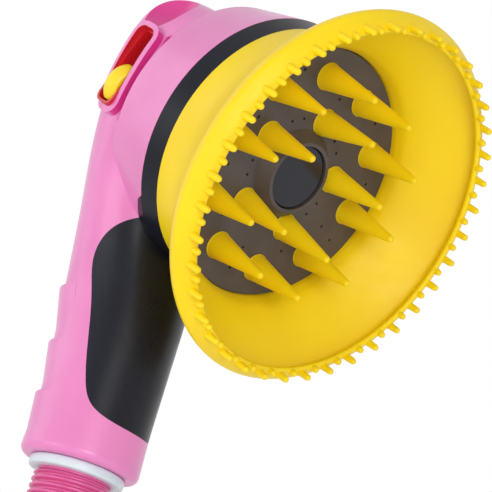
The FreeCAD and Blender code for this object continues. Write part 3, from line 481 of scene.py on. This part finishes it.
# %% Rolled stainless steel
def rolled_steel():
    """Bright metal with fine, uneven gloss."""
    made, tree, shader, place = finish_of("stainless_steel_rolled", {"Metallic": 1.0})
    colour = drifting(tree, place, size_mm=4.0, first="#C4C5C7", second="#B8B9BC")
    tree.links.new(colour, shader.inputs["Base Color"])
    tree.links.new(mottled(tree, place, size_mm=0.5, low=0.25, high=0.4), shader.inputs["Roughness"])
    return made


FINISHES["steel"] = rolled_steel()
print("finishes", sorted(FINISHES))

# %% [markdown]
# Every new mesh is finished in the same way. Points that share a place merge into one, as they do where a
# row of points shrinks to a single one. Then all faces look outwards, and they are shaded smooth except
# across an edge sharper than the crease angle. Modifiers could do both, but then the mesh would stay raw.

# %% A finished piece from a mesh
MERGE_WITHIN = 0.002
GRID_CREASE = 40.0


def piece(name, mesh, crease=GRID_CREASE):
    """An object for a mesh: doubles merged, faces outwards, smooth up to a crease angle in degrees."""
    work = bmesh.new()
    work.from_mesh(mesh)
    bmesh.ops.remove_doubles(work, verts=work.verts, dist=MERGE_WITHIN * MM)
    bmesh.ops.recalc_face_normals(work, faces=work.faces)
    work.to_mesh(mesh)
    work.free()
    mesh.polygons.foreach_set("use_smooth", np.ones(len(mesh.polygons), bool))
    mesh.set_sharp_from_angle(angle=math.radians(crease))
    made = bpy.data.objects.new(name, mesh)
    bpy.context.scene.collection.objects.link(made)
    print(name, len(mesh.polygons), "faces")
    return made


print("points merge within", MERGE_WITHIN, "mm")

# %% [markdown]
# Surfaces are worked out as grids. A grid of points has rows and columns, and each four neighbours make a
# face. Blender could also spin a curve with its Screw modifier, but a grid keeps the formula in view and
# takes whole arrays, so no loop runs over single points.

# %% A mesh from a grid of points
def surface(name, points, wrap_rows=False, wrap_columns=False):
    """A piece over grids, copies by rows by columns by XYZ; a wrapped way joins its end to its start."""
    copies, rows, columns = points.shape[:3]
    index = np.arange(copies * rows * columns).reshape(copies, rows, columns)
    if wrap_rows:
        index = np.concatenate([index, index[:, :1]], axis=1)
    if wrap_columns:
        index = np.concatenate([index, index[:, :, :1]], axis=2)
    corners = (index[:, :-1, :-1], index[:, :-1, 1:], index[:, 1:, 1:], index[:, 1:, :-1])
    quads = np.stack(corners, axis=-1).reshape(-1, 4)
    mesh = bpy.data.meshes.new(name)
    mesh.vertices.add(copies * rows * columns)
    mesh.vertices.foreach_set("co", points.astype(np.float32).ravel())
    mesh.loops.add(quads.size)
    mesh.loops.foreach_set("vertex_index", quads.astype(np.int32).ravel())
    mesh.polygons.add(len(quads))
    mesh.polygons.foreach_set("loop_start", np.arange(0, quads.size, 4, dtype=np.int32))
    mesh.update(calc_edges=True)
    return piece(name, mesh)


print("meshes so far", len(bpy.data.meshes))

# %% [markdown]
# A turned piece is told by its profile, radius and height. Profiles are drawn with a few knots and a smooth
# line through them, and with arcs where an edge is rounded. A Bezier curve could do the same, but its handles
# would have to be set one by one.

# %% Smooth lines and arcs
KNOT_STEPS = 8
ARC_STEPS = 5


def smooth_line(knots):
    """A line through the knots by the Catmull-Rom formula, each point a cubic blend of four knots."""
    knots = np.array(knots, float)
    padded = np.vstack([2 * knots[0] - knots[1], knots, 2 * knots[-1] - knots[-2]])
    before, start, end, after = (padded[i:len(knots) - 1 + i, None] for i in range(4))
    t = np.linspace(0, 1, KNOT_STEPS, endpoint=False)[None, :, None]
    line = start + 0.5 * t * (end - before)
    line = line + t ** 2 * (before - 2.5 * start + 2 * end - 0.5 * after)
    line = line + t ** 3 * (1.5 * (start - end) + 0.5 * (after - before))
    return np.vstack([line.reshape(-1, knots.shape[1]), knots[-1]])


def corner_arc(middle, radius, start, end, steps=ARC_STEPS):
    """Points of an arc in a profile: its middle and radius in mm, its turn from start to end in degrees."""
    turn = np.radians(np.linspace(start, end, steps))
    return np.stack([middle[0] + radius * np.cos(turn), middle[1] + radius * np.sin(turn)], axis=1)


print("a line through 3 knots has", 2 * KNOT_STEPS + 1, "points, a corner", ARC_STEPS)

# %% [markdown]
# Most of the head's pieces are turned: a profile goes round the spray axis. A copy of a form may stand
# anywhere on the head and lean outwards. The copies could be linked objects too, but as one mesh a whole row
# of nubs or cones is one piece, as it is one moulding on the real object.

# %% Turned forms
TINY = 1e-9


def on_head(x, y, forward):
    """Points of the head in metres: x across, y up the head and forward of the plate's face, all in mm."""
    return plate + MM * (x[..., None] * across + y[..., None] * up + forward[..., None] * spray)


def full_turn(sides):
    """The evenly spaced angles of a turn, without its end, which is its start again."""
    return np.linspace(0, 2 * np.pi, sides, endpoint=False)


def turned(name, profile, sides, middles=((0.0, 0.0),), lean=0.0, closed=True):
    """A profile of radius and height turned about the spray axis, once at each middle (across, up), in mm.

    Each copy's middle line moves outwards from the head's axis by the tangent of the lean, in degrees, times
    its height, so a leaning copy keeps level rings.
    """
    turn = full_turn(sides)
    radius, height = np.array(profile, float).T
    middles = np.array(middles, float)
    outwards = middles / np.maximum(np.linalg.norm(middles, axis=1, keepdims=True), TINY)
    drift = height * math.tan(math.radians(lean))
    moved = middles[:, None, :] + outwards[:, None, :] * drift[None, :, None]
    x = moved[:, :, 0, None] + radius[:, None] * np.cos(turn)
    y = moved[:, :, 1, None] + radius[:, None] * np.sin(turn)
    forward = np.broadcast_to(height[:, None], x.shape)
    return surface(name, on_head(x, y, forward), wrap_rows=closed, wrap_columns=True)


print("10 mm before the plate", on_head(*np.array([0.0, 0.0, 10.0])[:, None]).round(4))

# %% [markdown]
# The splash cup is silicone, turned about the spray axis: a thick root on the drum, a bell-shaped wall and a
# lip that rolls inwards. The profile is two smooth lines, outside and inside, joined by a round lip and the
# flat flange that the plate clamps. Its knots are radius and height in mm.

# %% The cup's wall
CUP_OUTSIDE = (
    (35.5, -9.2), (36.4, -4.8), (38.2, 1.2), (41.2, 6.2), (45.2, 11.0),
    (48.6, 14.4), (49.9, 17.3), (48.8, 19.1), (47.4, 20.4), (45.9, 21.2),
)
CUP_INSIDE = (
    (45.9, 19.6), (47.0, 18.8), (47.4, 17.6), (46.4, 15.9),
    (43.2, 12.6), (39.2, 8.3), (35.9, 4.2), (34.6, 1.2),
)
CUP_FLANGE = ((34.6, -7.2), (32.1, -7.2), (32.1, -9.2))
CUP_SIDES = 240
LIP_MIDDLE = (45.9, 20.4)
LIP_ROUND = 0.8
LIP_STEPS = 7

lip_end = corner_arc(LIP_MIDDLE, LIP_ROUND, 90.0, 270.0, LIP_STEPS)[1:-1]
cup_profile = np.vstack([smooth_line(CUP_OUTSIDE), lip_end, smooth_line(CUP_INSIDE), CUP_FLANGE])
stand_in(turned("cup", cup_profile, CUP_SIDES), "splash_cup")

# %% [markdown]
# Two rows of small nubs stand on the rolled lip, set like bricks, and they are what makes the rim look
# soft. Each nub is a tapered post with a round end. A row is one array of grids, so the two rows cost two
# calls. A row is told by its circle's radius, its shift in nubs and the heights of foot and tip.

# %% Nubs on the lip
NUB_RADIUS = 1.05
NUB_TIP_RADIUS = 0.85
NUB_SIDES = 12
NUB_ROWS = ((47.0, 0.0, 19.6, 24.2), (46.2, 0.5, 19.8, 22.8))
NUBS_PER_ROW = 38


def around_circle(radius, count, first):
    """Middles evenly spaced on a circle of the head: radius in mm, first one's angle from +X in degrees."""
    turn = np.radians(first + 360.0 * np.arange(count) / count)
    return np.stack([radius * np.cos(turn), radius * np.sin(turn)], axis=1)


def nub_profile(low, high):
    """Radius and height from the foot's middle, up the tapered side and over a half-round tip."""
    tip = corner_arc((0.0, high - NUB_TIP_RADIUS), NUB_TIP_RADIUS, 0.0, 90.0)
    return np.vstack([[0.0, low], [NUB_RADIUS, low], tip])


for row, (row_radius, shift, nub_low, nub_high) in enumerate(NUB_ROWS):
    middles = around_circle(row_radius, NUBS_PER_ROW, shift * 360.0 / NUBS_PER_ROW)
    nubs = turned(f"cup_nubs_{row}", nub_profile(nub_low, nub_high), NUB_SIDES, middles, closed=False)
    belongs_to(nubs, "splash_cup")

# %% [markdown]
# Fifteen cones comb through hair or fur. They stand on a rubber mat behind the plate and come through the
# plate's round holes: five around the hub and ten outside. Each cone has a small round at its root and a
# half-round tip, and leans outwards a little as on the real head. Both rings share one profile, so each is
# one call: its radius, its number of cones, the angle of its first and its lean.

# %% The cones' profile
CONE_FOOT_RADIUS = 3.58
CONE_TIP_RADIUS = 0.95
CONE_TIP_START = 8.0
CONE_TIP_STEPS = 7
CONE_SIDE_STEPS = 14
CONE_HEIGHT = 18.2
CONE_ROOT = -3.4
CONE_ROUND = 0.45
COLLAR_LOW = -0.1

cone_flare = corner_arc((CONE_FOOT_RADIUS + CONE_ROUND, CONE_ROUND), CONE_ROUND, 270.0, 180.0)
tip_middle = (0.0, CONE_HEIGHT - CONE_TIP_RADIUS)
cone_tip = corner_arc(tip_middle, CONE_TIP_RADIUS, CONE_TIP_START, 90.0, CONE_TIP_STEPS)
cone_side = np.linspace(cone_flare[-1], cone_tip[0], CONE_SIDE_STEPS)[1:-1]
cone_root = [[0.0, CONE_ROOT], [CONE_FOOT_RADIUS, CONE_ROOT], [CONE_FOOT_RADIUS, COLLAR_LOW]]
cone_collar = [[CONE_FOOT_RADIUS + CONE_ROUND, COLLAR_LOW]]
cone_profile = np.vstack([cone_root, cone_collar, cone_flare, cone_side, cone_tip])
print("cone profile points", len(cone_profile))

# %% Cones
CONE_SIDES = 40
CONE_TURN = 5.0
CONE_RINGS = ((15.4, 5, 0.0, 4.0), (26.6, 10, 18.0, 1.0))

rings = []
for ring_radius, count, first, lean in CONE_RINGS:
    middles = around_circle(ring_radius, count, 90.0 + CONE_TURN + first)
    rings.append(turned(f"cones_{len(rings)}", cone_profile, CONE_SIDES, middles, lean, closed=False))
stand_in(rings[0], "massage_spikes")
belongs_to(rings[1], "massage_spikes")

# %% [markdown]
# The cones hang together in a rubber mat behind the plate, a disc with a hole for each jet of water. It lies
# flat, so its form in the model is right, but its mesh there is loose triangles. A modifier could weld them
# at render time; here a copy is welded once, and the node itself stays untouched.

# %% The mat behind the plate
MAT_CREASE = 32.0

mat_mesh = frame["nodes"]["cone_mat"].data.copy()
mat_mesh.name = "mat_of_cones"
mat_mesh.materials.clear()
stand_in(piece("mat_of_cones", mat_mesh, MAT_CREASE), "cone_mat")

# %% [markdown]
# The hose screws onto a pink male thread. In the model it is a plain cylinder of the crest diameter, so the
# turns are made here. The surface is a function of the turn and the height: the radius falls from crest to
# root as the distance from the helix grows, with rounded crests, and the thread fades out at both ends.

# %% Hose thread
THREAD_CREST = 10.45
THREAD_DEPTH = 1.16
THREAD_PITCH = 1.814
THREAD_TOP = 11.4
THREAD_FADE = 1.0
FLANK_STEEPNESS = 1.5
FLANK_START = 0.25


def thread_radius(turn, height):
    """Crest minus depth times a softened triangle wave of the phase, height over pitch less the turn."""
    phase = np.mod(height / THREAD_PITCH - turn / (2 * np.pi), 1.0)
    wave = np.clip(np.abs(2 * phase - 1) * FLANK_STEEPNESS - FLANK_START, 0, 1)
    softened = wave * wave * (3 - 2 * wave)
    fade = np.clip(np.minimum(height, THREAD_TOP - height) / THREAD_FADE, 0, 1)
    return THREAD_CREST - THREAD_DEPTH * (1 - fade * (1 - softened))


print("thread turns", round(THREAD_TOP / THREAD_PITCH, 1))

# %% [markdown]
# The spigot under the thread is a tube. Its outside is the thread and then a plain neck, and its inside is
# the narrow waterway with a wider mouth for the strainer. All of it is one grid that closes on itself, so
# the wall has its true thickness at the open end.

# %% The threaded spigot
NECK_RADIUS = 9.5
NECK_TOP = 17.1
WATERWAY_RADIUS = 4.2
MOUTH_RADIUS = 6.5
MOUTH_DEPTH = 2.0
MOUTH_CHAMFER = 0.3
THREAD_SIDES = 144
THREAD_ROWS = 132
SPIGOT_REST = (
    (NECK_RADIUS, THREAD_TOP), (NECK_RADIUS, NECK_TOP), (WATERWAY_RADIUS, NECK_TOP),
    (WATERWAY_RADIUS, MOUTH_DEPTH), (MOUTH_RADIUS, MOUTH_DEPTH),
    (MOUTH_RADIUS, MOUTH_CHAMFER), (MOUTH_RADIUS + MOUTH_CHAMFER, 0.0),
)


def upright(name, radius, height, turn):
    """A grid of radii at its rows' heights and its columns' turns, about the handle's axis, in mm."""
    heights = np.broadcast_to(height, radius.shape)
    grid = np.stack([radius * np.cos(turn), radius * np.sin(turn), heights], axis=-1)
    return surface(name, grid[None] * MM, wrap_rows=True, wrap_columns=True)


spigot_turn = full_turn(THREAD_SIDES)
thread_height = np.linspace(0.0, THREAD_TOP, THREAD_ROWS)[:, None]
rest_radius, rest_height = np.array(SPIGOT_REST).T[:, :, None]
rest_radius = np.repeat(rest_radius, THREAD_SIDES, axis=1)
spigot_radius = np.vstack([thread_radius(spigot_turn, thread_height), rest_radius])
spigot_height = np.vstack([thread_height, rest_height])
stand_in(upright("hose_spigot", spigot_radius, spigot_height, spigot_turn), "inlet_nipple")

# %% [markdown]
# A pale washer sits between the thread and the handle. Its edge is rounded and catches a line of light, so
# its profile has two quarter rounds.

# %% Washer
RING_EDGE = 0.7
RING_SIDES = 120

ring_low, ring_high = (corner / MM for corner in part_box("hose_ring"))
edge_middle = ring_high.x - RING_EDGE
lower_round = corner_arc((edge_middle, ring_low.z + RING_EDGE), RING_EDGE, -90.0, 0.0)
upper_round = corner_arc((edge_middle, ring_high.z - RING_EDGE), RING_EDGE, 0.0, 90.0)
ring_profile = np.vstack([[NECK_RADIUS, ring_low.z], lower_round, upper_round, [NECK_RADIUS, ring_high.z]])
ring_radius, ring_height = ring_profile.T[:, :, None]
ring_radius = np.repeat(ring_radius, RING_SIDES, axis=1)
stand_in(upright("washer", ring_radius, ring_height, full_turn(RING_SIDES)), "hose_ring")

# %% [markdown]
# Every piece now takes the finish of its slot. Nodes that nothing replaces keep their own mesh and only
# get the material.

# %% Finishes onto pieces
def paint(thing, slot):
    """The thing's only material is the slot's finish."""
    thing.data.materials.clear()
    thing.data.materials.append(FINISHES[slot])


for node_name, thing in frame["nodes"].items():
    paint(thing, SLOT_OF[node_name])
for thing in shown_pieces():
    if "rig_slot" in thing:
        paint(thing, thing["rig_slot"])

# %% [markdown]
# The photograph is taken from in front, below and to the left, with a long lens and the handle leaning.
# The camera stands where a fit to the photograph's circles puts it, and its three directions carry the
# lean. The lens follows from the fitted focal length in picture widths.

# %% Camera
PHOTO_WIDTH = 492
FOCAL_PIXELS = 1800.0
CAMERA_AT = Vector((-0.3392, -0.2984, -0.0704))
TO_RIGHT = Vector((0.5194, -0.8104, 0.2731))
TO_TOP = Vector((-0.4229, 0.0350, 0.9054))

backwards = TO_RIGHT.cross(TO_TOP).normalized()
top = backwards.cross(TO_RIGHT).normalized()
camera = bpy.data.objects.new("camera", bpy.data.cameras.new("camera"))
bpy.context.scene.collection.objects.link(camera)
camera.data.lens = FOCAL_PIXELS / PHOTO_WIDTH * camera.data.sensor_width
camera_turn = Matrix((TO_RIGHT.normalized(), top, backwards)).transposed()
camera.matrix_world = Matrix.Translation(CAMERA_AT) @ camera_turn.to_4x4()
bpy.context.scene.camera = camera
print("lens", round(camera.data.lens, 1), "mm")

# %% [markdown]
# The light is a bright, even studio. A pale world lies all round. It is white where it is seen, also in a
# reflection, and dimmer as a light, so that colours come out as written.

# %% World
WORLD_LIGHT = 0.52
WHITE = "#FFFFFF"


def studio_world():
    """A world that is white to the camera, to reflections and through glass, and dimmer to all other rays."""
    world = bpy.data.worlds.new("studio")
    world.use_nodes = True
    tree = world.node_tree
    tree.nodes.clear()
    path = add(tree, "ShaderNodeLightPath", {})
    soft = add(tree, "ShaderNodeBackground", {"Color": WHITE, "Strength": WORLD_LIGHT})
    seen = add(tree, "ShaderNodeBackground", {"Color": WHITE, "Strength": 1.0})
    shown = path.outputs["Is Camera Ray"]
    for ray in ("Is Glossy Ray", "Is Transmission Ray"):
        shown = add(tree, "ShaderNodeMath", {0: shown, 1: path.outputs[ray]}, operation="MAXIMUM").outputs[0]
    mix = add(tree, "ShaderNodeMixShader", {0: shown, 1: soft.outputs[0], 2: seen.outputs[0]})
    add(tree, "ShaderNodeOutputWorld", {"Surface": mix.outputs[0]})
    return world


bpy.context.scene.world = studio_world()
print("world light", WORLD_LIGHT)

# %% [markdown]
# Three broad lamps add form to the world's even light. One in front opens the cup, and two stand at the
# photograph's left, where the cup and the shell are brightest. Broad lamps give soft shadows, and they are
# hidden from the camera so that other views don't show them.

# %% Lamps
AIM = Vector((0.0, -0.025, 0.085))


def lamp(name, right, above, nearer, size, power):
    """A square lamp aimed at the head: its place along the camera's directions, its side and its power."""
    light = bpy.data.lights.new(name, "AREA")
    light.shape, light.size, light.energy = "SQUARE", size, power
    made = bpy.data.objects.new(name, light)
    bpy.context.scene.collection.objects.link(made)
    made.visible_camera = False
    made.location = AIM + TO_RIGHT * right + top * above + backwards * nearer
    made.rotation_mode = "QUATERNION"
    made.rotation_quaternion = (AIM - made.location).to_track_quat("-Z", "Y")
    print(name, "at", [round(part, 2) for part in made.location])


lamp("key_left", right=-0.6, above=0.15, nearer=0.45, size=0.5, power=1.5)
lamp("fill_front", right=0.2, above=0.12, nearer=0.8, size=0.4, power=2.6)
lamp("left_back", right=-0.55, above=0.4, nearer=-0.15, size=0.5, power=0.7)

# %% [markdown]
# The sprayer hangs on its hose in use, so nothing of it touches the floor. A pale floor lies well below the
# camera, where it fills the other views without cutting into the photograph's. It glows faintly, which keeps
# it pale without more light on the object.

# %% Floor
FLOOR_Z = -0.26
FLOOR_HALF = 3.0
FLOOR_GLOW = 0.25


def painted_board():
    """Nearly white paint with a faint glow of its own."""
    board = {"Roughness": 0.7, "IOR": 1.45, "Emission Color": WHITE, "Emission Strength": FLOOR_GLOW}
    made, tree, shader, place = finish_of("pale_painted_board", board)
    colour = drifting(tree, place, size_mm=400.0, first="#F8F8F6", second="#F3F3F1")
    tree.links.new(colour, shader.inputs["Base Color"])
    return made


half = np.array([-FLOOR_HALF, FLOOR_HALF])
floor_x, floor_y = np.meshgrid(half, half, indexing="ij")
floor = surface("floor", np.stack([floor_x, floor_y, np.full_like(floor_x, FLOOR_Z)], axis=-1)[None])
floor.data.materials.append(painted_board())

# %% [markdown]
# The Standard view shows colours as they are written; a filmic one would grey them.

# %% The view settings
bpy.context.scene.view_settings.view_transform = "Standard"
